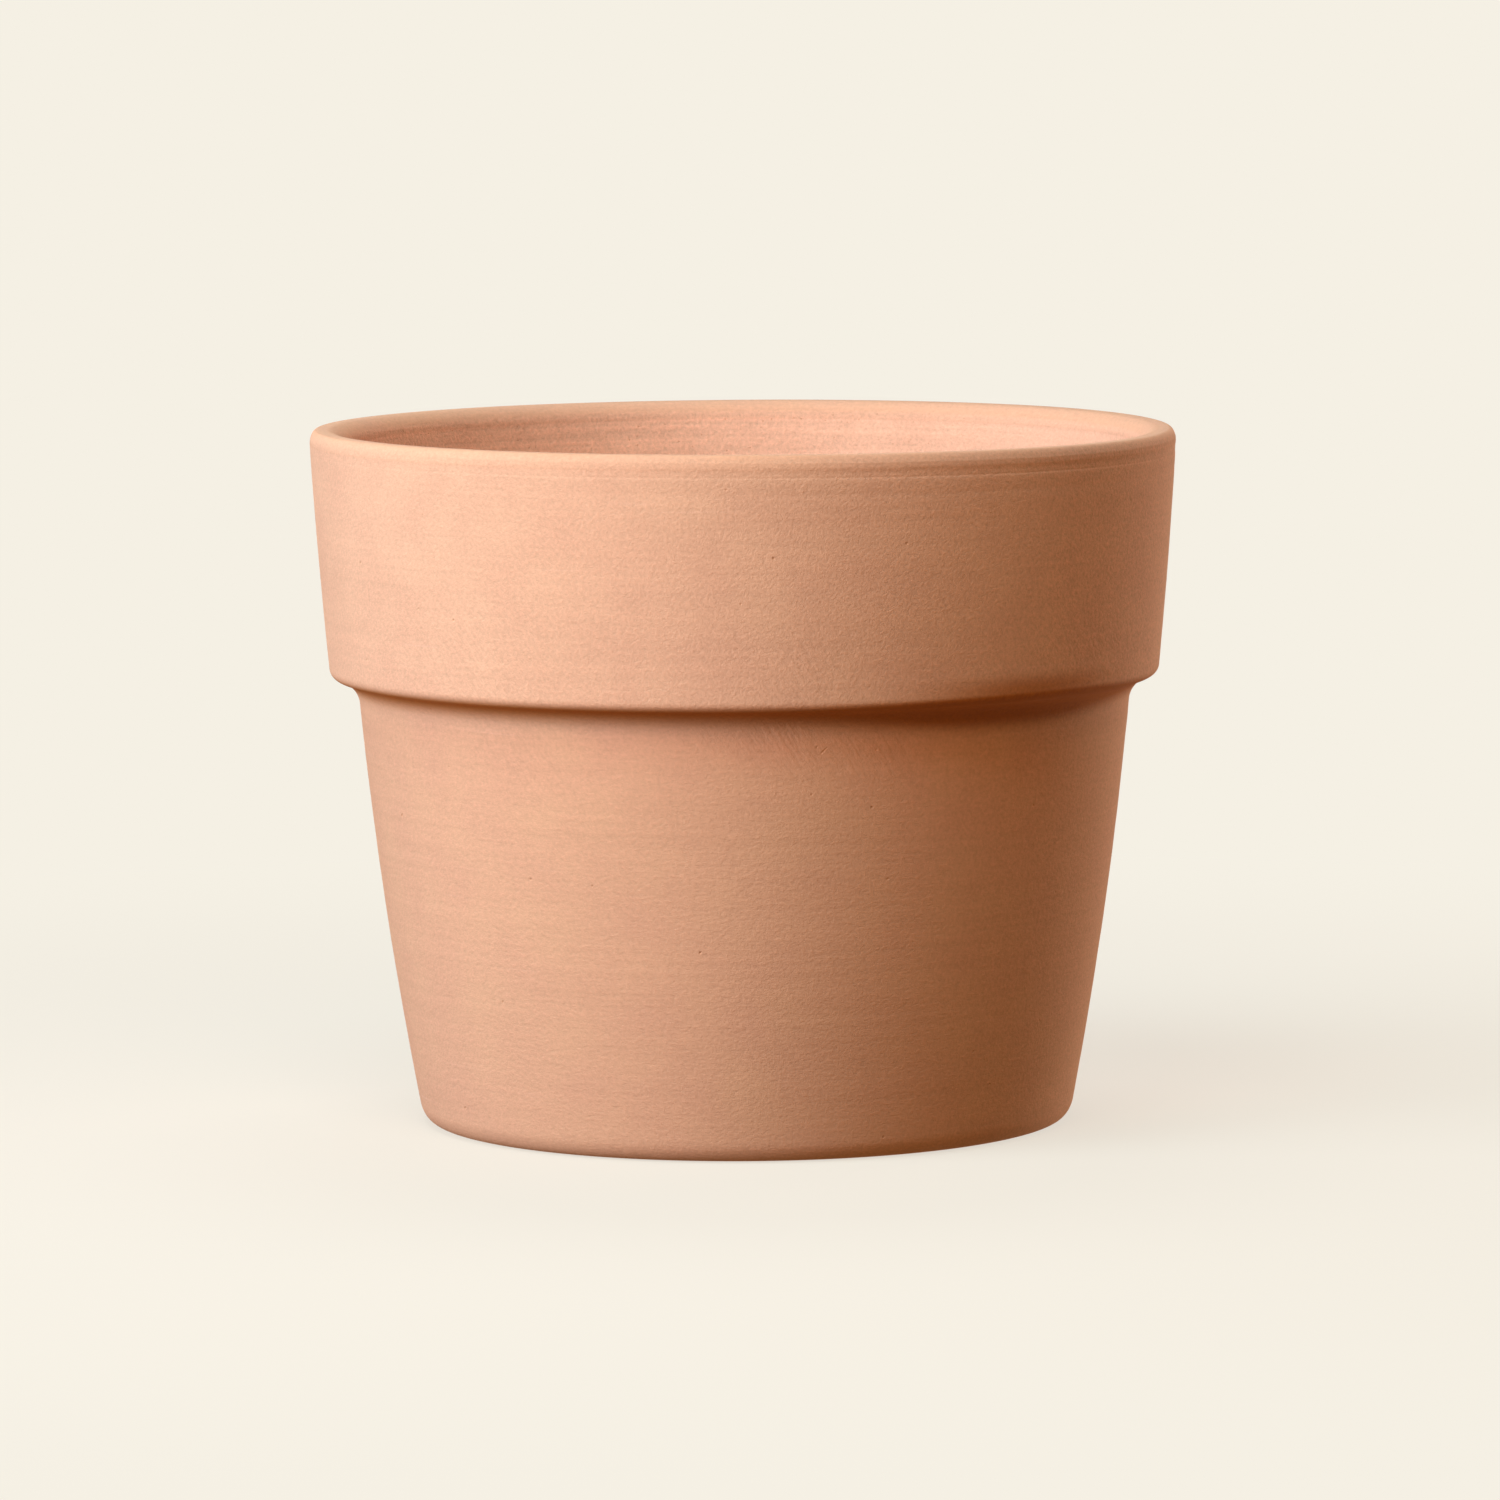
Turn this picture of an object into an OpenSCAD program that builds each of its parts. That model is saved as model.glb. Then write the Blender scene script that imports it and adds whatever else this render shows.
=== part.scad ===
// Terracotta plant pot: a tapered wall under a wide rim band, with a rounded foot and a drained floor.
// The pot stands on the XY plane with its axis on Z. Sizes are in millimetres and angles in degrees.
// Outlines are lists of [radius, height] points that are turned once round the axis.

/* [Rim band] */
// Height of the whole pot, from its base to the crest of the lip
pot_height = 120.5; // [115:0.5:130]
// Widest outer diameter of the pot, just under the lip
rim_diameter = 150; // [148:0.5:156]
// Height of the band, from its lower edge to the crest of the lip
band_height = 43.2; // [36:0.1:50]
// Outer diameter of the band at its lower edge
band_foot_diameter = 144.1; // [143.5:0.1:148]
// How far the middle of the band's face bulges outward
band_bulge = 0.18; // [0:0.02:0.6]
// Rounding of the band's lower edge
band_edge_radius = 1.9; // [1:0.1:2]
// Slope of the band's underside, which falls toward the wall
underside_slope = 18; // [10:1:20]
// Fillet in the shoulder between the underside and the wall
shoulder_radius = 5; // [2:0.1:5.2]

/* [Lip] */
// Width of the lip's outer rounding
lip_outer_width = 1.2; // [1:0.1:2.4]
// Height of the lip's outer rounding
lip_outer_height = 2.4; // [1.5:0.1:4]
// Width of the level crest between the lip's two roundings
lip_crest_width = 1.7; // [0.5:0.1:2]
// Width of the lip's inner rounding
lip_inner_width = 3.1; // [2:0.1:3.5]
// Height of the lip's inner rounding
lip_inner_height = 3.4; // [2:0.1:5]

/* [Wall] */
// Outer diameter of the wall at the corner under the band, before its fillet
wall_top_diameter = 134.2; // [132:0.1:134.6]
// Outer diameter of the wall at its foot
foot_diameter = 114.2; // [112:0.1:120]
// How far the middle of the wall bulges outward
wall_bulge = 0.82; // [0:0.02:1.2]
// Width of the rounding under the foot
foot_round_width = 2.9; // [1:0.1:4]
// Height of the rounding under the foot
foot_round_height = 4.5; // [2:0.1:6]

/* [Floor] */
// Thickness of the floor
floor_thickness = 8; // [6:0.5:11]
// Inner diameter at the floor, before the fillet
floor_diameter = 102; // [98:0.5:104]
// Fillet between the floor and the inner wall
floor_fillet_radius = 6; // [3:0.5:8]
// Diameter of the drain hole
drain_diameter = 22; // [16:0.5:26]
// Rounding of the drain hole's two edges
drain_edge_radius = 1; // [0.5:0.1:2]

/* [Hidden] */
clay = "#D69E7F";
turn_facets = 240;
arc_steps = 8;
bulge_steps = 12;

band_bottom = pot_height - band_height;

// Unit vector along v, and v turned a quarter turn clockwise
function unit(v) = v / norm(v);
function quarter(v) = [v.y, -v.x];

// Stretch of an ellipse from one angle to another
function arc(centre, size, from, to) =
    [for (i = [0 : arc_steps])
        let (a = from + (to - from) * i / arc_steps)
        centre + [size.x * cos(a), size.y * sin(a)]];

// Curve from p to q that stands out by bulge at its middle, without its two ends
function bulging(p, q, bulge) =
    [for (i = [1 : bulge_steps - 1])
        let (t = i / bulge_steps)
        p + t * (q - p) + 4 * bulge * t * (1 - t) * unit(quarter(q - p))];

// Directions in which such a curve leaves p and arrives at q
function departure(p, q, bulge) = unit(q - p + 4 * bulge * unit(quarter(q - p)));
function arrival(p, q, bulge) = unit(q - p - 4 * bulge * unit(quarter(q - p)));

// Angle on the lower right of an ellipse at which its side runs along v
function side_angle(size, v) = -atan2(size.y * v.x, size.x * v.y);

// Fillet at a corner that is entered along one direction and left along another
function fillet(corner, entry, exit, radius) =
    let (
        half = acos(-entry * exit) / 2,
        reach = radius / tan(half),
        centre = corner + unit(exit - entry) * radius / sin(half),
        start = corner - entry * reach - centre,
        turn = 180 - 2 * half,
        way = cross(entry, exit) > 0 ? 1 : -1,
        from = atan2(start.y, start.x)
    )
    arc(centre, [radius, radius], from, from + way * turn);

// Height at which the line through p and q has radius r, and radius at which it has height z
function height_at(p, q, r) = p.y + (q.y - p.y) * (r - p.x) / (q.x - p.x);
function radius_at(p, q, z) = p.x + (q.x - p.x) * (z - p.y) / (q.y - p.y);

// Band and lip, from the band's lower edge over the crest and into the pot
band_edge_size = [band_edge_radius, band_edge_radius];
band_edge_centre = [band_foot_diameter / 2, band_bottom] + [-band_edge_radius, band_edge_radius];
band_rise = [rim_diameter / 2 - band_foot_diameter / 2, band_height];
band_edge = arc(band_edge_centre, band_edge_size, underside_slope - 90, side_angle(band_edge_size, band_rise));
lip_outer_size = [lip_outer_width, lip_outer_height];
lip_outer_centre = [rim_diameter / 2, pot_height] - lip_outer_size;
lip_outer = arc(lip_outer_centre, lip_outer_size, 0, 90);
lip_inner_size = [lip_inner_width, lip_inner_height];
lip_inner_centre = [lip_outer_centre.x - lip_crest_width, pot_height - lip_inner_height];
lip_inner = arc(lip_inner_centre, lip_inner_size, 90, 180);
band_face = bulging(band_edge[arc_steps], lip_outer[0], band_bulge);

// Wall, from its rounded foot up to the shoulder under the band
underside = [cos(underside_slope), sin(underside_slope)];
shoulder_corner = [
    wall_top_diameter / 2,
    height_at(band_edge[0], band_edge[0] + underside, wall_top_diameter / 2)
];
foot_size = [foot_round_width, foot_round_height];
foot_side = [foot_diameter / 2, foot_round_height];
foot_centre = foot_side - [foot_round_width, 0];
foot_rise = departure(foot_side, shoulder_corner, wall_bulge);
foot = arc(foot_centre, foot_size, -90, side_angle(foot_size, foot_rise));
wall_rise = arrival(foot_side, shoulder_corner, wall_bulge);
shoulder = fillet(shoulder_corner, wall_rise, underside, shoulder_radius);
wall_face = bulging(foot[arc_steps], shoulder[0], wall_bulge);

// Inside: one straight taper from the lip to the fillet round the floor
lip_foot = lip_inner[arc_steps];
floor_corner = [floor_diameter / 2, floor_thickness];
floor_fillet = fillet(floor_corner, unit(floor_corner - lip_foot), [-1, 0], floor_fillet_radius);

// The band is joined to the wall at a level half way round the shoulder, and the floor where its fillet ends
seam_step = arc_steps / 2;
band_seam = shoulder[seam_step].y;
inner_seam = [radius_at(lip_foot, floor_corner, band_seam), band_seam];
floor_seam_r = floor_fillet[arc_steps].x;

rim_outline = concat(
    [for (i = [seam_step : arc_steps]) shoulder[i]],
    band_edge,
    band_face,
    lip_outer,
    lip_inner,
    [inner_seam]
);
wall_outline = concat(
    [[floor_seam_r, 0]],
    foot,
    wall_face,
    [for (i = [0 : seam_step]) shoulder[i]],
    [inner_seam],
    floor_fillet
);
drain_edge = [drain_edge_radius, drain_edge_radius];
drain_edge_r = drain_diameter / 2 + drain_edge_radius;
floor_outline = concat(
    [[floor_seam_r, 0], [floor_seam_r, floor_thickness]],
    arc([drain_edge_r, floor_thickness - drain_edge_radius], drain_edge, 90, 180),
    arc([drain_edge_r, drain_edge_radius], drain_edge, 180, 270)
);

// An outline turned once round the pot's axis
module turned(outline) {
    rotate_extrude($fn = turn_facets)
        polygon(outline);
}

// Wide collar with the rounded lip
module rim_band() {
    color(clay)
        turned(rim_outline);
}

// Tapered wall with the rounded foot
module pot_wall() {
    color(clay)
        turned(wall_outline);
}

// Disc that closes the bottom, with the drain hole through its middle
module pot_floor() {
    color(clay)
        turned(floor_outline);
}

rim_band();
pot_wall();
pot_floor();
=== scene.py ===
import math
from typing import NamedTuple

import bpy
import numpy as np
from bpy.props import FloatProperty, FloatVectorProperty, IntProperty, PointerProperty
from mathutils import Matrix, Vector


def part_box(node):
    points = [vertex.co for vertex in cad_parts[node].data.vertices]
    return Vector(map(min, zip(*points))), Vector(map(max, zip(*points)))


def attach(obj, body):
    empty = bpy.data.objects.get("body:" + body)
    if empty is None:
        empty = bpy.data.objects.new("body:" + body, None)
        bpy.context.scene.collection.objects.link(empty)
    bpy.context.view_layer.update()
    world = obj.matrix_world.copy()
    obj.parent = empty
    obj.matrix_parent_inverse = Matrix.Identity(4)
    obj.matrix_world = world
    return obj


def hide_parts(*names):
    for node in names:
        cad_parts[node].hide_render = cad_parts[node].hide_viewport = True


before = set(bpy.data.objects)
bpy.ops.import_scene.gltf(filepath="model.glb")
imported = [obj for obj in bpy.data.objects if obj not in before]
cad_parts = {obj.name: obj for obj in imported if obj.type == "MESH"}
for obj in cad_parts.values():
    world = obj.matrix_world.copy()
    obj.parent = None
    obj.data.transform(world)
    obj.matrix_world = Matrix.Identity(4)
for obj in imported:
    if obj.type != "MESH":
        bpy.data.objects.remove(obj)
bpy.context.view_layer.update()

bl_info = {
    "name": "Terracotta plant pot",
    "version": (1, 0, 0),
    "blender": (4, 5, 0),
    "location": "3D View > Sidebar > Pot",
    "description": "Turns a terracotta plant pot from its outline, with its fired clay and a plain studio",
    "category": "Add Mesh",
}

MM = 0.001
TAU = 2 * math.pi

# Corners of the solids that the three pieces stand for
RIM_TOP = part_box("rim_band")[1]
FLOOR_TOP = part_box("pot_floor")[1]


def length(name, description, default):
    """A size in metres that a user may change"""
    return FloatProperty(name=name, description=description, default=default, unit="LENGTH", precision=5)


def angle(name, description, degrees):
    """An angle that a user may change"""
    return FloatProperty(name=name, description=description, default=math.radians(degrees), unit="ROTATION")


def share(name, description, default):
    """A share of something, from nothing to twice as much"""
    return FloatProperty(name=name, description=description, default=default, min=0, max=2, subtype="FACTOR")


def level(name, description, default):
    """A lamp's strength, where 1 shows a white surface that faces the lamp as white"""
    return FloatProperty(name=name, description=description, default=default, min=0, max=4)


def colour(name, description, default):
    """A linear colour that a user may change"""
    return FloatVectorProperty(
        name=name, description=description, default=default, subtype="COLOR", min=0, max=1)


class PotSizes(bpy.types.PropertyGroup):
    """Driving sizes of the pot's outline"""

    pot_height: length("Height", "From the base to the crest of the lip", RIM_TOP.z)
    rim_diameter: length("Rim diameter", "Widest diameter, just under the lip", 2 * RIM_TOP.x)
    band_height: length("Band height", "From the band's lower edge to the crest", 43.2 * MM)
    band_foot_diameter: length("Band foot diameter", "Across the band's lower edge", 144.1 * MM)
    band_bulge: length("Band bulge", "How far the middle of the band stands out", 0.18 * MM)
    band_edge_radius: length("Band edge", "Rounding of the band's lower edge", 1.9 * MM)
    underside_slope: angle("Underside slope", "Fall of the band's underside toward the wall", 18)
    shoulder_radius: length("Shoulder", "Fillet between the band's underside and the wall", 5 * MM)
    lip_outer_width: length("Outer lip width", "Width of the lip's outer rounding", 1.2 * MM)
    lip_outer_height: length("Outer lip height", "Height of the lip's outer rounding", 2.4 * MM)
    lip_crest_width: length("Crest width", "Level crest between the lip's roundings", 1.7 * MM)
    lip_inner_width: length("Inner lip width", "Width of the lip's inner rounding", 3.1 * MM)
    lip_inner_height: length("Inner lip height", "Height of the lip's inner rounding", 3.4 * MM)
    wall_top_diameter: length("Wall top diameter", "Across the wall's corner under the band", 134.2 * MM)
    foot_diameter: length("Foot diameter", "Across the wall at its foot", 114.2 * MM)
    wall_bulge: length("Wall bulge", "How far the middle of the wall stands out", 0.82 * MM)
    foot_round_width: length("Foot width", "Width of the rounding under the foot", 2.9 * MM)
    foot_round_height: length("Foot height", "Height of the rounding under the foot", 4.5 * MM)
    floor_thickness: length("Floor thickness", "Thickness of the floor", FLOOR_TOP.z)
    floor_diameter: length("Floor diameter", "Inner diameter at the floor, before the fillet", 102 * MM)
    floor_fillet_radius: length("Floor fillet", "Fillet between floor and inner wall", 6 * MM)
    drain_diameter: length("Drain diameter", "Diameter of the drain hole", 22 * MM)
    drain_edge_radius: length("Drain edge", "Rounding of the drain hole's edges", 1 * MM)


class ClayFinish(bpy.types.PropertyGroup):
    """Colours and hand marks of the fired clay, with painted shade in the crease and a painted highlight
    inside
    """

    clay: colour("Clay", "Colour of the clay over most of the pot", (0.78, 0.408, 0.264))
    tan_clay: colour("Tan clay", "Yellower colour of the clay in broad patches", (0.77, 0.418, 0.262))
    # Pale clay also stands in for a painted highlight on the inside, where the dust is strongest
    pale_clay: colour("Pale clay", "Dry, dusty colour of the band and the inside", (0.88, 0.50, 0.35))
    rubbed_clay: colour("Rubbed clay", "Deeper colour of the lip and of rubbed edges", (0.72, 0.345, 0.205))
    # Dark clay is also the painted shade in the crease under the band
    dark_clay: colour("Dark clay", "Colour of pinholes and of the crease", (0.47, 0.145, 0.022))
    streaks: share("Streaks", "Strength of the fine brush marks", 1.0)
    grain: share("Grain", "Strength of the sandy grain", 1.0)
    mottle: share("Mottle", "Strength of the broad, soft patches", 1.0)
    dust: share("Dust", "Strength of the pale dust inside and on the band", 1.0)
    knocks: share("Knocks", "Strength of pinholes, nicks and smears", 1.0)
    relief: share("Relief", "Depth of the turning marks in the shape", 1.0)
    seed: IntProperty(name="Seed", description="Start of the random marks", default=7)


class Studio(bpy.types.PropertyGroup):
    """Floor, lamps and camera round the pot"""

    backdrop: colour("Backdrop", "Colour of the floor and the background", (0.913, 0.871, 0.776))
    shadow: share("Shadow", "Share of the floor's brightness that the pot can shade", 0.25)
    key_level: level("Key level", "Strength of the large lamp to the left", 1.17)
    key_colour: colour("Key colour", "Colour of the large lamp to the left", (0.773, 0.889, 1))
    top_level: level("Top level", "Strength of the lamp overhead", 0.544)
    top_colour: colour("Top colour", "Colour of the lamp overhead", (0.493, 0.88, 1))
    fill_level: level("Fill level", "Strength of the lamp over the camera", 0.389)
    fill_colour: colour("Fill colour", "Colour of the lamp over the camera", (1, 0.6, 0.33))
    back_level: level("Back level", "Strength of the lamp behind the pot", 0.575)
    back_colour: colour("Back colour", "Colour of the lamp behind the pot", (1, 0.8, 0.64))
    crest_level: level("Crest level", "Strength of the lamp above and behind", 0.346)
    crest_colour: colour("Crest colour", "Colour of the lamp above and behind", (0.851, 0.939, 1))
    room_light: colour("Room light", "Light from above and around", (0, 0, 0))
    bounce_light: colour("Bounce light", "Light from below", (0.23, 0.125, 0.04))


# Outline of the pot: points [radius, height] in metres

# Steps of an arc and of a bulging curve, and the step of the band's face at which the lip's finer mesh starts
ARC_STEPS = 32
BULGE_STEPS = 48
LIP_STEP = 40


def point(radius, height):
    """Point of the outline"""
    return np.array([radius, height])


def unit(v):
    """Unit vector along v"""
    return v / np.linalg.norm(v)


def quarter(v):
    """v turned a quarter turn clockwise, so an outline's direction becomes its outward normal"""
    return np.array([v[1], -v[0]])


def arc(centre, size, start, end):
    """Stretch of an ellipse from one angle to another"""
    a = np.linspace(start, end, ARC_STEPS + 1)[:, None]
    return centre + size * np.hstack([np.cos(a), np.sin(a)])


def bulging(p, q, bulge):
    """Curve from p to q that stands out by bulge at its middle"""
    t = np.linspace(0, 1, BULGE_STEPS + 1)[:, None]
    return p + t * (q - p) + 4 * bulge * t * (1 - t) * unit(quarter(q - p))


def departure(p, q, bulge):
    """Direction in which such a curve leaves p"""
    return unit(q - p + 4 * bulge * unit(quarter(q - p)))


def arrival(p, q, bulge):
    """Direction in which such a curve arrives at q"""
    return unit(q - p - 4 * bulge * unit(quarter(q - p)))


def side_angle(size, direction):
    """Angle on the lower right of an ellipse at which its side runs along a direction"""
    return -math.atan2(size[1] * direction[0], size[0] * direction[1])


def fillet(corner, entry, leaving, radius):
    """Fillet at a corner that is entered along one direction and left along another"""
    half = math.acos(-entry @ leaving) / 2
    centre = corner + unit(leaving - entry) * radius / math.sin(half)
    start = corner - entry * radius / math.tan(half) - centre
    turn = (math.pi - 2 * half) * np.sign(entry[0] * leaving[1] - entry[1] * leaving[0])
    first = math.atan2(start[1], start[0])
    return arc(centre, radius, first, first + turn)


def on_line(p, q, radius=None, height=None):
    """Point at a radius or a height on the line through p and q"""
    t = (radius - p[0]) / (q[0] - p[0]) if height is None else (height - p[1]) / (q[1] - p[1])
    return p + t * (q - p)


def outline_runs(s):
    """The outline's runs, which are cut apart at the seams between the pieces and at both sides of the lip"""
    edge_size = point(s.band_edge_radius, s.band_edge_radius)
    edge_centre = point(s.band_foot_diameter / 2, s.pot_height - s.band_height) + edge_size * [-1, 1]
    band_rise = point((s.rim_diameter - s.band_foot_diameter) / 2, s.band_height)
    band_edge = arc(edge_centre, edge_size, s.underside_slope - math.pi / 2, side_angle(edge_size, band_rise))
    outer_size = point(s.lip_outer_width, s.lip_outer_height)
    outer_centre = point(s.rim_diameter / 2, s.pot_height) - outer_size
    lip_outer = arc(outer_centre, outer_size, 0, math.pi / 2)
    inner_size = point(s.lip_inner_width, s.lip_inner_height)
    inner_centre = point(outer_centre[0] - s.lip_crest_width, s.pot_height - s.lip_inner_height)
    lip_inner = arc(inner_centre, inner_size, math.pi / 2, math.pi)
    band_face = bulging(band_edge[-1], lip_outer[0], s.band_bulge)

    underside = point(math.cos(s.underside_slope), math.sin(s.underside_slope))
    corner = on_line(band_edge[0], band_edge[0] + underside, radius=s.wall_top_diameter / 2)
    foot_size = point(s.foot_round_width, s.foot_round_height)
    foot_side = point(s.foot_diameter / 2, s.foot_round_height)
    foot_rise = departure(foot_side, corner, s.wall_bulge)
    foot_centre = foot_side - [s.foot_round_width, 0]
    foot = arc(foot_centre, foot_size, -math.pi / 2, side_angle(foot_size, foot_rise))
    shoulder = fillet(corner, arrival(foot_side, corner, s.wall_bulge), underside, s.shoulder_radius)
    wall_face = bulging(foot[-1], shoulder[0], s.wall_bulge)
    middle = ARC_STEPS // 2

    floor_corner = point(s.floor_diameter / 2, s.floor_thickness)
    down = unit(floor_corner - lip_inner[-1])
    floor_fillet = fillet(floor_corner, down, point(-1, 0), s.floor_fillet_radius)
    inner_seam = on_line(lip_inner[-1], floor_corner, height=shoulder[middle][1])
    floor_seam = point(floor_fillet[-1][0], 0)
    drain_edge = point(s.drain_edge_radius, s.drain_edge_radius)
    drain_centre = point(s.drain_diameter / 2 + s.drain_edge_radius, s.drain_edge_radius)
    drain_rise = point(0, s.floor_thickness - 2 * s.drain_edge_radius)
    drain_top = arc(drain_centre + drain_rise, drain_edge, math.pi / 2, math.pi)
    drain_foot = arc(drain_centre, drain_edge, math.pi, 1.5 * math.pi)

    return {
        "wall_outside": np.vstack([floor_seam, foot, wall_face, shoulder[:middle + 1]]),
        "band": np.vstack([shoulder[middle:], band_edge, band_face[:LIP_STEP + 1]]),
        "lip": np.vstack([band_face[LIP_STEP:], lip_outer, lip_inner]),
        "band_inside": np.vstack([lip_inner[-1], inner_seam]),
        "wall_inside": np.vstack([inner_seam, floor_fillet]),
        "floor": np.vstack([floor_fillet[-1], drain_top, drain_foot, floor_seam]),
    }


# Distance between the rings of the mesh along each run, number of steps round the pot, and turn of its back
RING_SPACING = {
    "wall_outside": 0.31 * MM,
    "band": 0.26 * MM,
    "lip": 0.12 * MM,
    "band_inside": 0.5 * MM,
    "wall_inside": 0.6 * MM,
    "floor": 0.7 * MM,
}
TURN_STEPS = 240
BACK = math.radians(90)


def along(points):
    """Distance of each point of an outline from its start"""
    return np.concatenate([[0], np.cumsum(np.linalg.norm(np.diff(points, axis=0), axis=1))])


class Outline:
    """The whole outline in even steps, with its outward normals and the rings at which each run starts"""

    def __init__(self, sizes):
        rings, self.start = [], {}
        for name, points in outline_runs(sizes).items():
            way = along(points)
            steps = math.ceil(way[-1] / RING_SPACING[name])
            even = np.linspace(0, way[-1], steps + 1)
            run = np.column_stack([np.interp(even, way, points[:, k]) for k in (0, 1)])
            self.start[name] = sum(map(len, rings))
            rings.append(run[:-1])
        self.points = np.vstack(rings)
        self.way = along(self.points)
        step = np.roll(self.points, -1, axis=0) - np.roll(self.points, 1, axis=0)
        normals = np.column_stack([step[:, 1], -step[:, 0]])
        self.normals = normals / np.linalg.norm(normals, axis=1)[:, None]

    def rings(self, first, last):
        """Numbers of the rings from the start of one run to the start of another"""
        end = self.start[last] if last else len(self.points)
        return np.arange(self.start[first], end + 1) % len(self.points)


# Marks of the turning in the shape itself

TURNING_MARKS = (
    # distance from line to line, changes in one turn, depth
    (9.0 * MM, 3, 0.030 * MM),
    (3.2 * MM, 5, 0.012 * MM),
    (1.3 * MM, 9, 0.006 * MM),
)
HAND_SOFTNESS = (16.0 * MM, 26, 0.020 * MM)
RIM_TOOL_MARKS = (
    # depth below the crest, half width, how far the clay stands out
    (3.1 * MM, 0.95 * MM, -0.090 * MM),
    (3.8 * MM, 0.16 * MM, -0.035 * MM),
    (1.35 * MM, 0.22 * MM, 0.030 * MM),
    (6.6 * MM, 0.60 * MM, -0.020 * MM),
)

# Wobble of the rim tool and its changes in one turn, how hard it was pressed, and where hardest
RIM_TOOL_WOBBLE = 0.12 * MM
RIM_TOOL_CHANGES = 7
RIM_TOOL_PRESS = 0.55
RIM_TOOL_HARDEST = math.radians(-35)

# Height at which the marks have their full depth, so that the base stays flat
STANDING_RISE = 2 * MM

# Dip of the lip at one turn, and how narrow it is
RIM_DIP = 0.6 * MM
RIM_DIP_TURN = math.radians(-22)
RIM_DIP_NARROWNESS = 3.5


def drifting(random, way, turn, pitch, cells):
    """Smooth noise with one random value for each pitch along the outline and each cell round the pot"""
    rows, columns = way[:, None] / pitch, turn[None, :] / TAU * cells
    values = random.uniform(-1, 1, (int(rows.max()) + 2, cells))
    i, j = np.floor(rows).astype(int), np.floor(columns).astype(int)
    u, v = rows - i, columns - j
    u, v = u * u * (3 - 2 * u), v * v * (3 - 2 * v)
    near = values[i, j % cells] * (1 - v) + values[i, (j + 1) % cells] * v
    far = values[i + 1, j % cells] * (1 - v) + values[i + 1, (j + 1) % cells] * v
    return near * (1 - u) + far * u


def rim_tool(random, outline, turn):
    """Hollow and fine lines that the rim tool left under the lip, deeper where it was pressed harder"""
    height, outward = outline.points[:, 1:], outline.normals[:, :1]
    wobble = RIM_TOOL_WOBBLE * drifting(random, np.zeros(1), turn, 1, RIM_TOOL_CHANGES)
    below = outline.points[:, 1].max() - height + wobble
    depth = sum(amount * np.exp(-((below - drop) / width) ** 2) for drop, width, amount in RIM_TOOL_MARKS)
    pressed = RIM_TOOL_PRESS * (1 + np.cos(turn - RIM_TOOL_HARDEST))
    return depth * pressed * np.clip(outward, 0, 1)


def relief(outline, turn, finish):
    """How far the clay stands out from the outline at each ring and turn"""
    random = np.random.default_rng(finish.seed)
    depth = np.zeros((len(outline.way), len(turn)))
    for pitch, cells, amount in (*TURNING_MARKS, HAND_SOFTNESS):
        depth += amount * drifting(random, outline.way, turn, pitch, cells)
    depth += rim_tool(random, outline, turn)
    off_the_ground = np.clip(outline.points[:, 1:] / STANDING_RISE, 0, 1)
    return depth * off_the_ground * finish.relief


def ramp(values, start, end):
    """Smooth step from 0 at start to 1 at end"""
    t = np.clip((values - start) / (end - start), 0, 1)
    return t * t * (3 - 2 * t)


def stretch_of_turn(turn, middle, narrowness):
    """Share that is 1 at one turn and falls off to both sides of it"""
    return np.exp(narrowness * (np.cos(turn - middle) - 1))


def clay_surface(outline, turn, sizes, finish):
    """Corners of the whole pot's mesh at each ring and turn, and the ways in which the clay faces there"""
    depth = relief(outline, turn, finish)[..., None]
    place = outline.points[:, None] + depth * outline.normals[:, None]
    up_the_band = ramp(outline.points[:, 1:], sizes.pot_height - sizes.band_height, sizes.pot_height)
    dipping = stretch_of_turn(turn, RIM_DIP_TURN, RIM_DIP_NARROWNESS)
    dip = RIM_DIP * finish.relief * up_the_band * dipping
    radius, height = place[..., 0], place[..., 1] - dip
    corners = np.stack([radius * np.cos(turn), radius * np.sin(turn), height], axis=-1)
    upward = np.roll(corners, -1, axis=0) - np.roll(corners, 1, axis=0)
    sideways = np.roll(corners, -1, axis=1) - np.roll(corners, 1, axis=1)
    facing = np.cross(sideways, upward)
    return corners, facing / np.linalg.norm(facing, axis=-1, keepdims=True)


# Building the pieces

# Radius of a fully rubbed edge, and how far the band's edge reaches from the crease
EDGE_RADIUS = 1.6 * MM
BAND_EDGE_REACH = 2 * MM

# Distances from the crease at which its painted shade and the smears start to fade and are gone
CREASE_FADE = (2.4 * MM, 6 * MM)
SMEAR_FADE = (22 / 3 * MM, 22 * MM)

# Turns at which the crease's painted shadow is darkest, the outside grainiest, the inside's dust and painted
# highlight strongest, and the inside smoothest
CREASE_SHADOW_TURN = math.radians(-48)
GRAINIEST = math.radians(-15)
DUST_AND_HIGHLIGHT_TURN = math.radians(54)
SMOOTHEST = math.radians(30)

# How narrow the stretches of painted shadow, grain and smoothness are, and how strong
CREASE_NARROWNESS = 12
GRAIN_NARROWNESS = 2.5
SMOOTH_NARROWNESS = 4
CREASE_SHADOW_REACH = 0.7
GRAIN_EXCESS = 0.9
SMOOTHING = 0.75

# Dust, sand and brush marks on the band, on the wall and inside; the inside's dust is partly a painted
# highlight
INSIDE_DUST = 0.7
BAND_DUST = 0.3
WALL_SAND = 0.7
INSIDE_SAND = 0.8
BAND_SMOOTHNESS = 0.85

# Parts of the normals between which clay starts to count as outside, as inside and as facing down into the
# painted shade
OUTSIDE_RAMP = (0.6, 0.9)
INSIDE_RAMP = (0.85, 0.97)
DOWN_RAMP = (0.3, 1)


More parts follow.
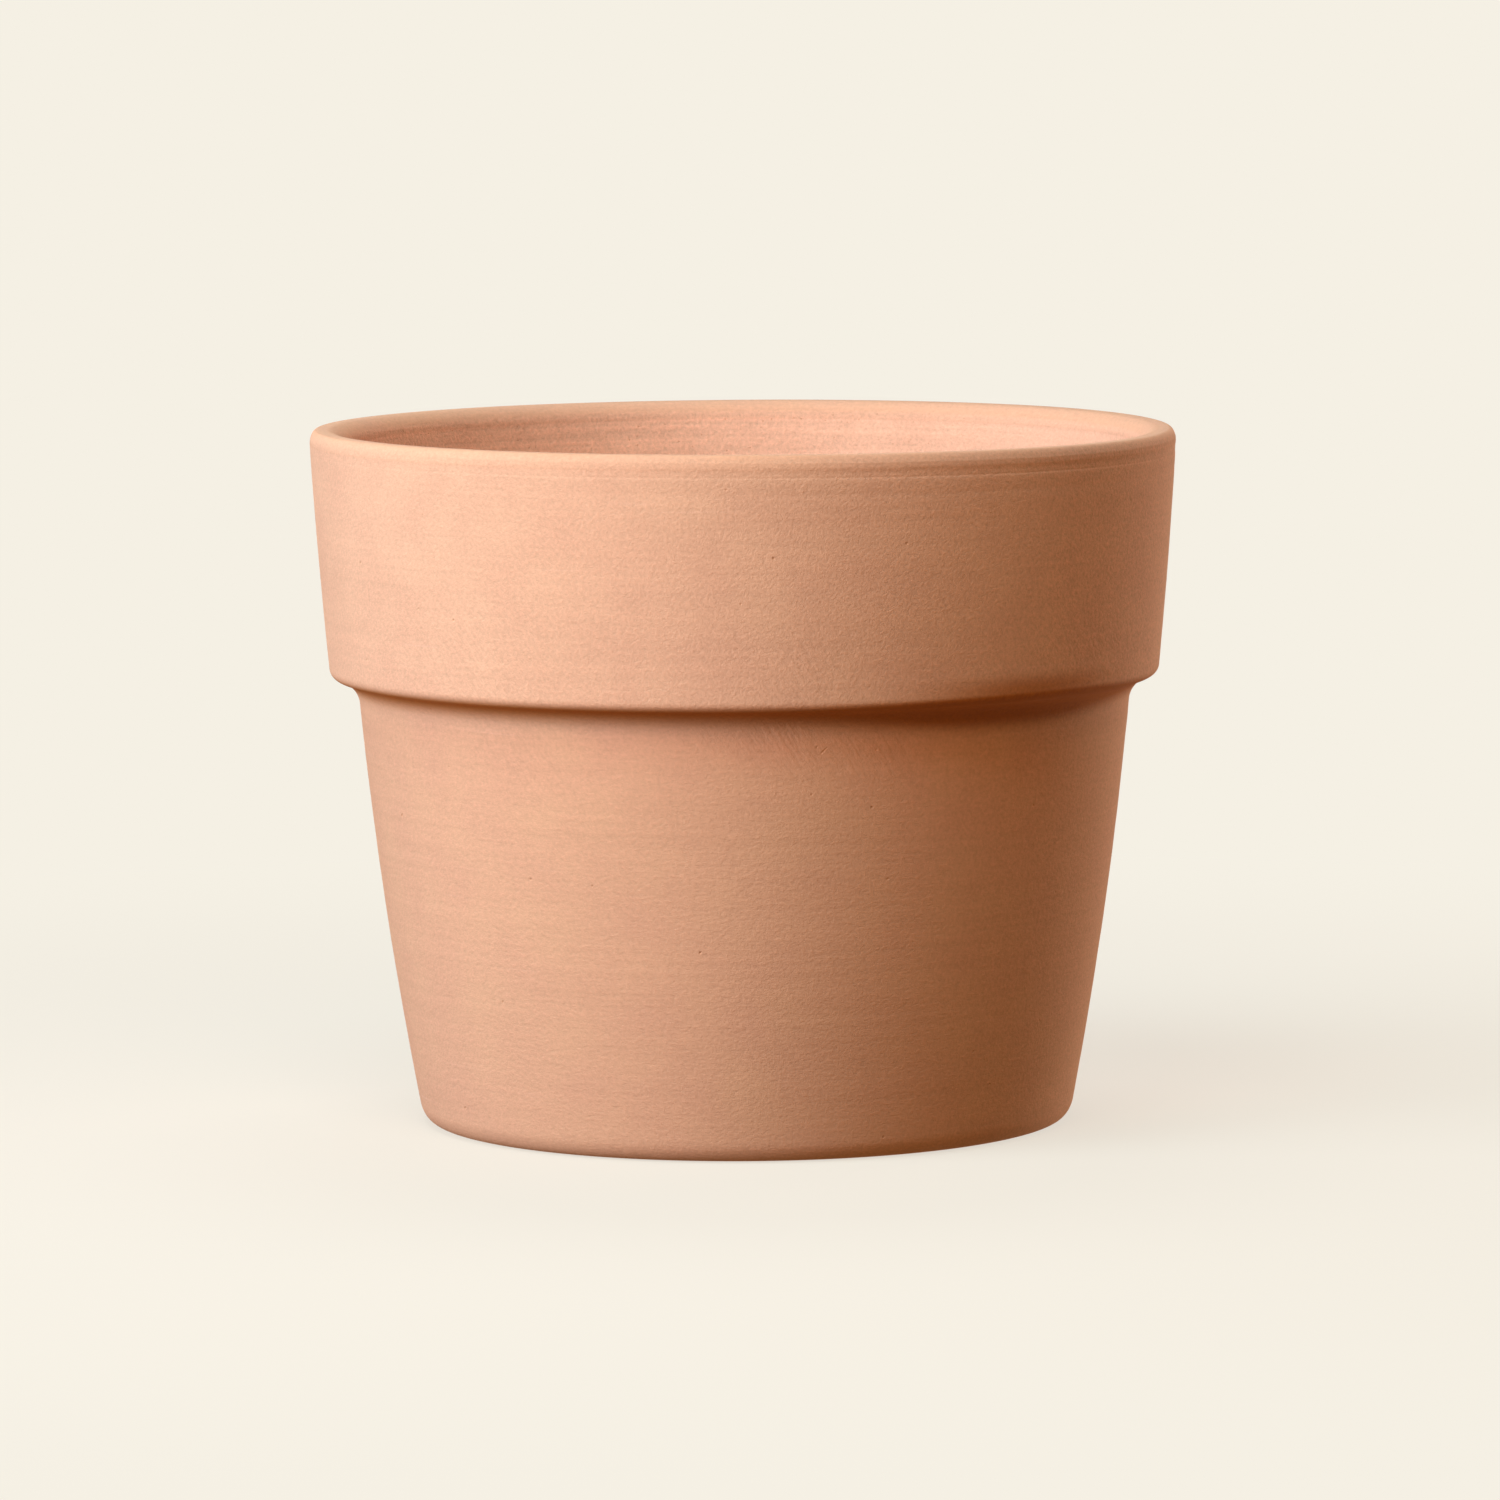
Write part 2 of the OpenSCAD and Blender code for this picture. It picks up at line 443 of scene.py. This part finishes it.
def clay_marks(outline, turn, sizes):
    """Shares at each ring and turn, which tell the clay where it is rubbed, dusty, sandy and so on, where
    painted shade darkens the crease and where a painted highlight joins the dust inside
    """
    radial, upward = outline.normals.T[..., None]
    height = outline.points[:, 1:]
    heading = np.unwrap(np.arctan2(outline.normals[:, 1], outline.normals[:, 0]))
    bend = np.gradient(heading, outline.way)[:, None]
    crease = sizes.pot_height - sizes.band_height
    from_crease = np.abs(height - crease)
    outside = ramp(radial, *OUTSIDE_RAMP)
    inside = ramp(-radial, *INSIDE_RAMP)
    on_band = outside * ramp(height, crease - BAND_EDGE_REACH, crease + BAND_EDGE_REACH)
    # The crease mark is painted shade on clay that faces down under the band, reaching further down the wall
    # in one stretch of turn as a painted shadow
    painted_shadow_stretch = stretch_of_turn(turn, CREASE_SHADOW_TURN, CREASE_NARROWNESS)
    grainy_stretch = stretch_of_turn(turn, GRAINIEST, GRAIN_NARROWNESS)
    painted_shade_below = ramp(CREASE_SHADOW_REACH * painted_shadow_stretch - upward, *DOWN_RAMP)
    # Pale dust inside, strongest on one side, where it is partly a painted highlight
    dust_and_highlight = INSIDE_DUST * (1 + np.cos(turn - DUST_AND_HIGHLIGHT_TURN)) / 2
    bare = inside * (1 - SMOOTHING * stretch_of_turn(turn, SMOOTHEST, SMOOTH_NARROWNESS))
    return {
        "edge_wear": np.clip(bend * EDGE_RADIUS, 0, 1),
        "crease": painted_shade_below * (1 - ramp(from_crease, *CREASE_FADE)),
        "dust": dust_and_highlight * inside + BAND_DUST * on_band,
        "bare": bare,
        "sandy": WALL_SAND + (1 - WALL_SAND) * on_band + INSIDE_SAND * bare,
        "speckled": 1 + GRAIN_EXCESS * outside * grainy_stretch,
        "brushed": 1 - BAND_SMOOTHNESS * on_band,
        "smears": outside * (1 - ramp(from_crease, *SMEAR_FADE)),
    }


def turned_piece(name, runs, context):
    """One closed piece of clay: its runs of the outline turned round the axis and joined across the seams"""
    sizes, finish = context.scene.pot_sizes, context.scene.pot_finish
    outline = Outline(sizes)
    turn = BACK + np.arange(TURN_STEPS) / TURN_STEPS * TAU
    corners, facing = clay_surface(outline, turn, sizes, finish)
    numbers = [outline.rings(*run) for run in runs]
    ring = np.concatenate(numbers)
    seam = np.zeros(len(ring), bool)
    seam[np.cumsum([len(n) for n in numbers]) - 1] = True

    row, step = np.meshgrid(np.arange(len(ring)), np.arange(TURN_STEPS), indexing="ij")
    next_row, next_step = (row + 1) % len(ring), (step + 1) % TURN_STEPS
    faces = np.stack([
        row * TURN_STEPS + step, row * TURN_STEPS + next_step,
        next_row * TURN_STEPS + next_step, next_row * TURN_STEPS + step], axis=-1)

    mesh = bpy.data.meshes.new(name)
    mesh.from_pydata(corners[ring].reshape(-1, 3).tolist(), [], faces.reshape(-1, 4).tolist())
    mesh.polygons.foreach_set("use_smooth", np.repeat(~seam, TURN_STEPS))
    shading = facing[ring].reshape(-1, 3)[faces] * ~seam[:, None, None, None]
    mesh.normals_split_custom_set(shading.reshape(-1, 3).tolist())
    lay_flat(mesh, along(outline.points[np.append(ring, ring[0])]), row, step)
    for label, shares in clay_marks(outline, turn, sizes).items():
        values = np.broadcast_to(shares, corners.shape[:2])[ring].astype(np.float32)
        mesh.attributes.new(label, "FLOAT", "POINT").data.foreach_set("value", values.ravel())
    mesh.materials.append(fired_clay(finish))
    piece = bpy.data.objects.new(name, mesh)
    context.scene.collection.objects.link(piece)
    return piece


UV_MARGIN = 0.002


def lay_flat(mesh, way, row, step):
    """UV map that unrolls the piece: the turn runs across, and the outline's length runs up"""
    u = np.stack([step, step + 1, step + 1, step], axis=-1) / TURN_STEPS
    v = np.stack([way[row], way[row], way[row + 1], way[row + 1]], axis=-1) / way[-1]
    flat = UV_MARGIN + (1 - 2 * UV_MARGIN) * np.stack([u, v], axis=-1)
    mesh.uv_layers.new(name="OFBake").uv.foreach_set("vector", flat.ravel().astype(np.float32))


# Fired clay


def add(tree, kind, inputs=None, **settings):
    """New node with its settings, and its inputs set to values or linked to other nodes' outputs"""
    node = tree.nodes.new(kind)
    for name, value in settings.items():
        setattr(node, name, value)
    for name, value in (inputs or {}).items():
        if isinstance(value, bpy.types.NodeSocket):
            tree.links.new(value, node.inputs[name])
        else:
            node.inputs[name].default_value = value
    return node


def math_of(tree, operation, *values):
    """Result of a sum or other operation on values or other nodes' outputs"""
    return add(tree, "ShaderNodeMath", dict(enumerate(values)), operation=operation).outputs[0]


# Inputs of a mix node for its factor and two colours, and its output for a colour
MIX_INPUTS = (0, 6, 7)
MIX_OUTPUT = 2


def mixed(tree, factor, first, second):
    """Colour between two colours"""
    inputs = dict(zip(MIX_INPUTS, (factor, first, second)))
    return add(tree, "ShaderNodeMix", inputs, data_type="RGBA").outputs[MIX_OUTPUT]


def noise(tree, place, scale, detail=2.0, roughness=0.5):
    """Noise round zero, from about -0.5 to 0.5"""
    inputs = {"Vector": place, "Scale": scale, "Detail": detail, "Roughness": roughness}
    return math_of(tree, "SUBTRACT", add(tree, "ShaderNodeTexNoise", inputs).outputs["Fac"], 0.5)


def opaque(rgb):
    """Colour with full alpha"""
    return (*rgb, 1.0)


def dots(tree, place, spacing, radius):
    """Scattered round marks that rise from 0 at their rims to 1 at their middles"""
    cells = add(tree, "ShaderNodeTexVoronoi", {"Vector": place, "Scale": 1 / spacing}).outputs["Distance"]
    return add(tree, "ShaderNodeMapRange", {
        "Value": cells, "From Min": 0.0, "From Max": radius / spacing, "To Min": 1.0, "To Max": 0.0},
        interpolation_type="SMOOTHSTEP").outputs["Result"]


def mark(tree, name):
    """Share that the mesh carries under a name"""
    return add(tree, "ShaderNodeAttribute", attribute_name=name).outputs["Fac"]


def swept(tree, place, pace):
    """Coordinates that run slowly round the pot and fast along its outline, for marks left by turning"""
    rise = add(tree, "ShaderNodeSeparateXYZ", {"Vector": place}).outputs["Z"]
    flat = add(tree, "ShaderNodeVectorMath", {0: place, 1: (1, 1, 0)}, operation="MULTIPLY").outputs[0]
    radius = add(tree, "ShaderNodeVectorMath", {0: flat}, operation="LENGTH").outputs["Value"]
    climb = add(tree, "ShaderNodeCombineXYZ", {"Z": math_of(tree, "ADD", rise, radius)}).outputs[0]
    slow = {0: flat, 1: (pace, pace, 0), 2: climb}
    return add(tree, "ShaderNodeVectorMath", slow, operation="MULTIPLY_ADD").outputs[0]


def slanted(tree, place, slant, stretch):
    """Coordinates drawn out along a slant, as seen from the front"""
    inputs = {"Vector": place, "Rotation": (0, -slant, 0), "Scale": stretch}
    return add(tree, "ShaderNodeMapping", inputs, vector_type="TEXTURE").outputs[0]


# How fast each kind of turning mark changes round the pot, as a share of its change along the outline
LINE_PACE = 0.02
BRUSH_PACE = 0.4
SCRATCH_PACE = 0.03

# Climb of nicks and smears to the right, and how much they are drawn out along it and into the clay
NICK_SLANT = math.radians(45)
NICK_STRETCH = (4.0, 1.6, 1.0)
SMEAR_SLANT = math.radians(-55)
SMEAR_STRETCH = (6.0, 2.0, 1.0)

# Size of one cell of each kind of noise
MOTTLE_CELL = 36 * MM
PATCH_CELL = 9 * MM
LINE_CELL = 1.1 * MM
SCRATCH_CELL = 0.9 * MM
BRUSH_CELL = 0.6 * MM
GRAIN_CELL = 0.6 * MM
SMEAR_CELL = 0.8 * MM
SMEAR_PATCH_CELL = 26 * MM

# Spacing and radius of scattered marks
PITS = (7.5 * MM, 0.36 * MM)
PINHOLES = (1.4 * MM, 0.24 * MM)
NICKS = (9.0 * MM, 0.32 * MM)

# Extra strength of lines inside, noise where scratches start and are full, and contrast and share of smears
INSIDE_LINES = 3.0
SCRATCH_START = 0.2
SCRATCH_FULL = 0.32
SMEAR_CONTRAST = 4.0
SMEAR_SHARE = 0.4

# Contrast of the broad patches, their say in dust and rubbing, and shares of rubbing, scratches and pits
HUE_CONTRAST = 1.6
PATCHINESS = 0.8
RUBBED_SHARE = 0.45
SCRATCH_SHARE = 0.5
PIT_SHARE = 0.4

# How much each pattern lightens the clay, how far it stands out, and the setting that it follows
TONES = {"patches": 0.10, "lines": 0.10, "brush": 0.16, "speckle": 0.48, "smears": 0.20}
DEPTHS = {
    "grain": 0.110 * MM,
    "brush": 0.050 * MM,
    "lines": 0.020 * MM,
    "smears": 0.130 * MM,
    "pits": -0.110 * MM,
}
SETTINGS = {
    "patches": "mottle",
    "lines": "streaks",
    "brush": "streaks",
    "grain": "grain",
    "speckle": "grain",
    "smears": "knocks",
    "pits": "knocks",
}

ROUGHNESS = 0.88
GRAIN_ROUGHNESS = 0.2
CLAY_IOR = 1.45
CLAY_SPECULAR = 0.1


def clay_patterns(tree):
    """Patterns of the clay: noises round zero, and marks that rise from 0 to 1"""
    place = add(tree, "ShaderNodeTexCoord").outputs["Object"]
    brushed, bare = mark(tree, "brushed"), mark(tree, "bare")
    lines = noise(tree, swept(tree, place, LINE_PACE), 1 / LINE_CELL, detail=1)
    brush = noise(tree, swept(tree, place, BRUSH_PACE), 1 / BRUSH_CELL, roughness=0.6)
    grain = noise(tree, place, 1 / GRAIN_CELL, detail=3, roughness=0.75)
    grain = math_of(tree, "MULTIPLY", grain, mark(tree, "sandy"))
    scratches = add(tree, "ShaderNodeMapRange", {
        "Value": noise(tree, swept(tree, place, SCRATCH_PACE), 1 / SCRATCH_CELL, detail=1),
        "From Min": SCRATCH_START, "From Max": SCRATCH_FULL}).outputs["Result"]
    patch = noise(tree, place, 1 / SMEAR_PATCH_CELL, detail=1)
    patch = math_of(tree, "MULTIPLY_ADD", patch, SMEAR_CONTRAST, SMEAR_SHARE)
    patch = add(tree, "ShaderNodeClamp", {"Value": patch}).outputs[0]
    smears = noise(tree, slanted(tree, place, SMEAR_SLANT, SMEAR_STRETCH), 1 / SMEAR_CELL, roughness=0.6)
    smears = math_of(tree, "MULTIPLY", math_of(tree, "MULTIPLY", smears, patch), mark(tree, "smears"))
    nicks = dots(tree, slanted(tree, place, NICK_SLANT, NICK_STRETCH), *NICKS)
    pits = math_of(tree, "MAXIMUM", dots(tree, place, *PITS), math_of(tree, "MULTIPLY", nicks, brushed))
    pinholes = math_of(tree, "MULTIPLY", dots(tree, place, *PINHOLES), bare)
    return {
        "mottle": noise(tree, place, 1 / MOTTLE_CELL),
        "patches": noise(tree, place, 1 / PATCH_CELL, detail=3),
        "lines": math_of(tree, "MULTIPLY", lines, math_of(tree, "MULTIPLY_ADD", bare, INSIDE_LINES, 1.0)),
        "brush": math_of(tree, "MULTIPLY", brush, brushed),
        "grain": grain,
        "speckle": math_of(tree, "MULTIPLY", grain, mark(tree, "speckled")),
        "scratches": math_of(tree, "MULTIPLY", scratches, patch),
        "smears": smears,
        "pits": math_of(tree, "MAXIMUM", pits, pinholes),
    }


def summed(tree, patterns, amounts, finish, start):
    """A value with patterns added to it, each by its amount and its share of the finish"""
    for name, amount in amounts.items():
        strength = amount * getattr(finish, SETTINGS[name])
        start = math_of(tree, "MULTIPLY_ADD", patterns[name], strength, start)
    return start


def clay_colour(tree, patterns, finish):
    """Colour of the clay: soft patches under dust and a painted highlight inside, scratches, rubbed edges,
    painted shade in the crease, and pits
    """
    patches, pale = patterns["patches"], opaque(finish.pale_clay)
    hue = math_of(tree, "ADD", patterns["mottle"], patches)
    hue = math_of(tree, "MULTIPLY_ADD", hue, HUE_CONTRAST * finish.mottle, 0.5)
    dust = math_of(tree, "MULTIPLY_ADD", patches, PATCHINESS, finish.dust)
    scratched = math_of(tree, "MULTIPLY", patterns["scratches"], SCRATCH_SHARE * finish.knocks)
    rubbed = math_of(tree, "MULTIPLY_ADD", patches, PATCHINESS, RUBBED_SHARE)
    pitted = math_of(tree, "MULTIPLY", patterns["pits"], PIT_SHARE * finish.knocks)
    clay = mixed(tree, hue, opaque(finish.clay), opaque(finish.tan_clay))
    # Pale dust clay, which on the inside is partly a painted highlight
    clay = mixed(tree, math_of(tree, "MULTIPLY", mark(tree, "dust"), dust), clay, pale)
    clay = mixed(tree, scratched, clay, pale)
    rubbed = math_of(tree, "MULTIPLY", mark(tree, "edge_wear"), rubbed)
    clay = mixed(tree, rubbed, clay, opaque(finish.rubbed_clay))
    # Painted shade: dark clay in the crease under the band, deepest in one stretch as a painted shadow
    clay = mixed(tree, mark(tree, "crease"), clay, opaque(finish.dark_clay))
    clay = mixed(tree, pitted, clay, opaque(finish.dark_clay))
    tone = summed(tree, patterns, TONES, finish, 1.0)
    return add(tree, "ShaderNodeVectorMath", {0: clay, "Scale": tone}, operation="SCALE").outputs[0]


def fired_clay(finish):
    """Matt terracotta, which all the pieces share"""
    found = bpy.data.materials.get("fired_clay")
    if found:
        return found
    material = bpy.data.materials.new("fired_clay")
    material.use_nodes = True
    tree = material.node_tree
    tree.nodes.clear()
    patterns = clay_patterns(tree)
    height = summed(tree, patterns, DEPTHS, finish, 0.0)
    bump = add(tree, "ShaderNodeBump", {"Strength": 1.0, "Distance": 1.0, "Height": height}).outputs[0]
    rough = math_of(tree, "MULTIPLY_ADD", patterns["grain"], GRAIN_ROUGHNESS, ROUGHNESS)
    shader = add(tree, "ShaderNodeBsdfPrincipled", {
        "Base Color": clay_colour(tree, patterns, finish), "Roughness": rough, "Normal": bump,
        "IOR": CLAY_IOR, "Specular IOR Level": CLAY_SPECULAR})
    output = add(tree, "ShaderNodeOutputMaterial", {"Surface": shader.outputs[0]})
    output.is_active_output = True
    return material


class POT_OT_rim_band(bpy.types.Operator):
    """Turn the wide collar with the rounded lip"""

    bl_idname = "pot.rim_band"
    bl_label = "Rim band"
    bl_options = {"REGISTER", "UNDO"}

    def execute(self, context):
        piece = turned_piece("clay_rim_band", [("band", "wall_inside")], context)
        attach(piece, "root")
        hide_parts("rim_band")
        return {"FINISHED"}


class POT_OT_wall(bpy.types.Operator):
    """Turn the tapered wall with the rounded foot"""

    bl_idname = "pot.wall"
    bl_label = "Pot wall"
    bl_options = {"REGISTER", "UNDO"}

    def execute(self, context):
        piece = turned_piece("clay_pot_wall", [("wall_outside", "band"), ("wall_inside", "floor")], context)
        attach(piece, "root")
        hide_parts("pot_wall")
        return {"FINISHED"}


class POT_OT_floor(bpy.types.Operator):
    """Turn the disc that closes the bottom, with its drain hole"""

    bl_idname = "pot.floor"
    bl_label = "Pot floor"
    bl_options = {"REGISTER", "UNDO"}

    def execute(self, context):
        piece = turned_piece("clay_pot_floor", [("floor", None)], context)
        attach(piece, "root")
        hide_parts("pot_floor")
        return {"FINISHED"}


# Studio

CAMERA_PLACE = (0, -1.48326, 0.21719)
CAMERA_PITCH = math.radians(5.8955)
CAMERA_YAW = math.radians(0.0351)
CAMERA_ROLL = math.radians(0.3665)
CAMERA_LENS = 205.68
CAMERA_SENSOR = 36
FLOOR_RADIUS = 30
FLOOR_GAP = 0.2 * MM
HORIZON_SOFTNESS = 0.3

# Distances from the axis at which the soft shadow starts to fade and is gone
SHADOW_NEAR = 0.1
SHADOW_FAR = 0.4

# Floor that shows only through the drain hole, which the pot shades fully
UNDER_NEAR = 0.02
UNDER_FAR = 0.04


class Lamp(NamedTuple):
    """Place of a round soft lamp: turn to the right of the camera, height over the horizon, and sizes"""

    turn: float
    height: float
    distance: float
    diameter: float


LAMPS = {
    "key": Lamp(math.radians(-63), math.radians(18), 0.9, 0.6),
    "top": Lamp(math.radians(-20), math.radians(60), 0.8, 0.4),
    "fill": Lamp(math.radians(0), math.radians(40), 0.8, 0.5),
    "back": Lamp(math.radians(135), math.radians(2), 0.8, 0.3),
    "crest": Lamp(math.radians(180), math.radians(65), 0.8, 0.4),
}
LAMP_AIM = Vector((0, 0, RIM_TOP.z / 2))


def toward(turn, height):
    """Direction from the pot toward a place that far to the right of the camera and over the horizon"""
    return Vector((math.sin(turn) * math.cos(height), -math.cos(turn) * math.cos(height), math.sin(height)))


def hang_lamp(name, context, strength, tint):
    """Round soft lamp that faces the pot"""
    place = LAMPS[name]
    data = bpy.data.lights.new(name, "AREA")
    data.shape = "DISK"
    data.size = place.diameter
    data.energy = strength * (math.pi * place.distance) ** 2
    data.color = tint
    lamp = bpy.data.objects.new(name, data)
    way = toward(place.turn, place.height)
    lamp.location = LAMP_AIM + way * place.distance
    lamp.rotation_euler = way.to_track_quat("Z", "Y").to_euler()
    lamp.visible_camera = False
    context.scene.collection.objects.link(lamp)


def room(context, studio):
    """World that lights the pot from around and shows the plain backdrop to the camera"""
    world = bpy.data.worlds.new("room")
    world.use_nodes = True
    tree = world.node_tree
    tree.nodes.clear()
    direction = add(tree, "ShaderNodeTexCoord").outputs["Generated"]
    up = add(tree, "ShaderNodeSeparateXYZ", {"Vector": direction}).outputs["Z"]
    upward = add(tree, "ShaderNodeMapRange", {
        "Value": up, "From Min": -HORIZON_SOFTNESS, "From Max": HORIZON_SOFTNESS}).outputs["Result"]
    light = mixed(tree, upward, opaque(studio.bounce_light), opaque(studio.room_light))
    path = add(tree, "ShaderNodeLightPath").outputs
    seen = math_of(tree, "MAXIMUM", path["Is Camera Ray"], path["Is Glossy Ray"])
    seen = math_of(tree, "MAXIMUM", seen, path["Is Transmission Ray"])
    shown = mixed(tree, seen, light, opaque(studio.backdrop))
    background = add(tree, "ShaderNodeBackground", {"Color": shown, "Strength": 1.0})
    add(tree, "ShaderNodeOutputWorld", {"Surface": background.outputs[0]})
    context.scene.world = world


def floor_paint(studio):
    """Pale floor that keeps a soft shadow near the pot and can be seen through from below"""
    lit = np.array(studio.room_light)
    for name, place in LAMPS.items():
        strength, tint = getattr(studio, name + "_level"), getattr(studio, name + "_colour")
        lit = lit + strength * np.array(tint) * math.sin(place.height)
    backdrop = np.array(studio.backdrop)
    material = bpy.data.materials.new("floor_paint")
    material.use_nodes = True
    tree = material.node_tree
    tree.nodes.clear()
    place = add(tree, "ShaderNodeTexCoord").outputs["Object"]
    distance = add(tree, "ShaderNodeVectorMath", {0: place}, operation="LENGTH").outputs["Value"]
    near = add(tree, "ShaderNodeMapRange", {
        "Value": distance, "From Min": SHADOW_NEAR, "From Max": SHADOW_FAR,
        "To Min": studio.shadow, "To Max": 0.0}, interpolation_type="SMOOTHSTEP").outputs["Result"]
    under = add(tree, "ShaderNodeMapRange", {
        "Value": distance, "From Min": UNDER_NEAR, "From Max": UNDER_FAR,
        "To Min": 1.0, "To Max": 0.0}).outputs["Result"]
    near = math_of(tree, "MAXIMUM", near, under)
    matt = add(tree, "ShaderNodeBsdfDiffuse", {"Color": opaque(backdrop / lit)}).outputs[0]
    steady = add(tree, "ShaderNodeEmission", {"Color": opaque(backdrop)}).outputs[0]
    painted = add(tree, "ShaderNodeMixShader", {0: near, 1: steady, 2: matt}).outputs[0]
    clear = add(tree, "ShaderNodeBsdfTransparent").outputs[0]
    below = add(tree, "ShaderNodeNewGeometry").outputs["Backfacing"]
    shown = add(tree, "ShaderNodeMixShader", {0: below, 1: painted, 2: clear}).outputs[0]
    add(tree, "ShaderNodeOutputMaterial", {"Surface": shown})
    return material


def studio_floor(context, studio):
    """Wide floor, a hair below the pot's foot"""
    mesh = bpy.data.meshes.new("floor")
    square = ((-1, -1), (1, -1), (1, 1), (-1, 1))
    corners = [(FLOOR_RADIUS * x, FLOOR_RADIUS * y, -FLOOR_GAP) for x, y in square]
    mesh.from_pydata(corners, [], [(0, 1, 2, 3)])
    mesh.materials.append(floor_paint(studio))
    floor = bpy.data.objects.new("floor", mesh)
    floor.visible_diffuse = False
    floor.visible_shadow = False
    context.scene.collection.objects.link(floor)


def studio_camera(context):
    """Long lens a little over the rim, tilted slightly as the view needs"""
    data = bpy.data.cameras.new("camera")
    data.sensor_width = CAMERA_SENSOR
    data.lens = CAMERA_LENS
    data.clip_end = 2 * FLOOR_RADIUS
    forward = Vector((
        math.sin(CAMERA_YAW) * math.cos(CAMERA_PITCH), math.cos(CAMERA_YAW) * math.cos(CAMERA_PITCH),
        -math.sin(CAMERA_PITCH)))
    right = Vector((math.cos(CAMERA_YAW), -math.sin(CAMERA_YAW), 0))
    upright = Matrix((right, right.cross(forward), -forward)).transposed()
    camera = bpy.data.objects.new("camera", data)
    camera.matrix_world = Matrix.Translation(CAMERA_PLACE) @ (
        upright @ Matrix.Rotation(-CAMERA_ROLL, 3, "Z")).to_4x4()
    context.scene.collection.objects.link(camera)
    context.scene.camera = camera


class POT_OT_studio(bpy.types.Operator):
    """Set up the floor, the lamps, the backdrop and the camera"""

    bl_idname = "pot.studio"
    bl_label = "Studio"
    bl_options = {"REGISTER", "UNDO"}

    def execute(self, context):
        studio = context.scene.pot_studio
        studio_camera(context)
        room(context, studio)
        for name in LAMPS:
            hang_lamp(name, context, getattr(studio, name + "_level"), getattr(studio, name + "_colour"))
        studio_floor(context, studio)
        context.scene.view_settings.view_transform = "Standard"
        return {"FINISHED"}


class POT_PT_sidebar(bpy.types.Panel):
    """Buttons and sizes of the pot"""

    bl_idname = "POT_PT_sidebar"
    bl_label = "Terracotta pot"
    bl_space_type = "VIEW_3D"
    bl_region_type = "UI"
    bl_category = "Pot"

    def draw(self, context):
        for operator in OPERATORS:
            self.layout.operator(operator.bl_idname)
        for group in (context.scene.pot_sizes, context.scene.pot_finish, context.scene.pot_studio):
            box = self.layout.box()
            for name in type(group).__annotations__:
                box.prop(group, name)


GROUPS = {"pot_sizes": PotSizes, "pot_finish": ClayFinish, "pot_studio": Studio}
OPERATORS = (POT_OT_studio, POT_OT_rim_band, POT_OT_wall, POT_OT_floor)


def register():
    """Add the classes, and the settings to the scene"""
    for made in (*GROUPS.values(), *OPERATORS, POT_PT_sidebar):
        bpy.utils.register_class(made)
    for name, group in GROUPS.items():
        setattr(bpy.types.Scene, name, PointerProperty(type=group))


def unregister():
    """Take the settings and the classes away again"""
    for name in GROUPS:
        delattr(bpy.types.Scene, name)
    for made in reversed((*GROUPS.values(), *OPERATORS, POT_PT_sidebar)):
        bpy.utils.unregister_class(made)


def main():
    """Build the studio and the pot"""
    register()
    bpy.ops.pot.studio()
    bpy.ops.pot.rim_band()
    bpy.ops.pot.wall()
    bpy.ops.pot.floor()


if __name__ == "__main__":
    main()
